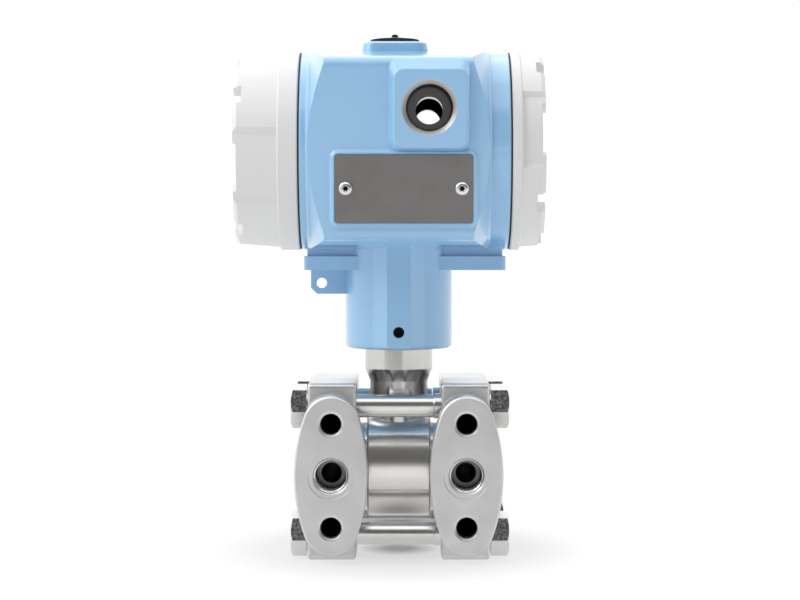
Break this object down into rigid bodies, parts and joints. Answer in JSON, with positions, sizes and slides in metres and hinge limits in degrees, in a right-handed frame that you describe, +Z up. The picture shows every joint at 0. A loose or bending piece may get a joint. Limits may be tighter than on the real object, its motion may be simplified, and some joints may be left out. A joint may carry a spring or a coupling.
{
  "type": "pressure transmitter",
  "caption": "Differential pressure transmitter: two process flanges clamped on a steel cell, with a turning blue head, screw covers and conduit entries.",
  "frame": {"origin": "centre of the four mounting holes, on the front oval faces of the flanges", "axes": "+Z up, +X to the right as seen from the front, the front faces -Y"},
  "size_m": [0.1262, 0.1155, 0.2135],
  "materials": {
    "blue_paint": "gloss",
    "grey_paint": "satin",
    "flange_steel": "satin",
    "polished_steel": "polished",
    "bolt_steel": "satin",
    "screw_steel": "bright",
    "plate_metal": "satin",
    "black_steel": "black oxide",
    "black_plastic": "matte",
    "dark_plastic": "moulded",
    "key_plastic": "moulded",
    "display_face": "gloss",
    "black_rubber": "matte",
    "seal_ring": "matte",
    "brass": "turned",
    "window": "polished"
  },
  "bodies": {
    "cell": {"left_flange": "flange_steel", "right_flange": "flange_steel", "left_gasket": "seal_ring", "right_gasket": "seal_ring", "flange_bolts": "bolt_steel", "flange_nuts": "bolt_steel", "rear_plugs": "bolt_steel", "cell_body": "polished_steel", "left_diaphragm": "polished_steel", "right_diaphragm": "polished_steel", "cell_neck": "polished_steel", "neck_seal": "black_rubber"},
    "head": {"housing": "blue_paint", "nameplate": "plate_metal", "nameplate_screws": "screw_steel", "neck_set_screw": "black_steel", "feedthrough": "dark_plastic", "electronics_module": "dark_plastic", "module_screws": "screw_steel", "display_module": "dark_plastic", "display_panel": "display_face", "terminal_block": "dark_plastic", "terminal_clamps": "brass", "terminal_screws": "brass", "block_screws": "screw_steel", "ground_clamp": "brass", "ground_screw": "screw_steel", "key_gasket": "black_rubber", "key_flap_washer": "screw_steel", "key_flap_screw": "black_steel"},
    "flap": {"key_flap": "black_plastic"},
    "zero_button": {"zero_key": "key_plastic"},
    "span_button": {"span_key": "key_plastic"},
    "enter_button": {"enter_key": "key_plastic"},
    "left_seal": {"electronics_cover_seal": "black_rubber"},
    "left_cover": {"electronics_cover": "grey_paint", "window_glass": "window", "window_ring": "screw_steel"},
    "right_seal": {"terminal_cover_seal": "black_rubber"},
    "right_cover": {"terminal_cover": "grey_paint"}
  },
  "joints": [
    {"name": "head_turn", "type": "hinge", "parent": "cell", "child": "head", "pos_m": [0, 0.053, 0.0558], "axis": [0, 0, 1], "range_deg": [-180, 180]},
    {"name": "flap_swivel", "type": "hinge", "parent": "head", "child": "flap", "pos_m": [-0.0016, 0.0405, 0.1748], "axis": [0, 0, 1], "range_deg": [-120, 120]},
    {"name": "electronics_cover_travel", "type": "slide", "parent": "head", "child": "left_seal", "axis": [-1, 0, 0], "range_m": [0, 0.01201]},
    {"name": "electronics_cover_turn", "type": "hinge", "parent": "left_seal", "child": "left_cover", "pos_m": [-0.05, 0.053, 0.1302], "axis": [-1, 0, 0], "range_deg": [0, 2880]},
    {"name": "terminal_cover_travel", "type": "slide", "parent": "head", "child": "right_seal", "axis": [1, 0, 0], "range_m": [0, 0.01201]},
    {"name": "terminal_cover_turn", "type": "hinge", "parent": "right_seal", "child": "right_cover", "pos_m": [0.05, 0.053, 0.1302], "axis": [1, 0, 0], "range_deg": [0, 2880]},
    {"name": "zero_press", "type": "slide", "parent": "head", "child": "zero_button", "axis": [0, 0, -1], "range_m": [0, 0.0012], "stiffness_N_per_m": 400},
    {"name": "span_press", "type": "slide", "parent": "head", "child": "span_button", "axis": [0, 0, -1], "range_m": [0, 0.0012], "stiffness_N_per_m": 400},
    {"name": "enter_press", "type": "slide", "parent": "head", "child": "enter_button", "axis": [0, 0, -1], "range_m": [0, 0.0012], "stiffness_N_per_m": 400}
  ],
  "couplings": [
    {"joint": "electronics_cover_travel", "follows": "electronics_cover_turn", "m_per_rad": 0.00023873},
    {"joint": "terminal_cover_travel", "follows": "terminal_cover_turn", "m_per_rad": 0.00023873}
  ]
}
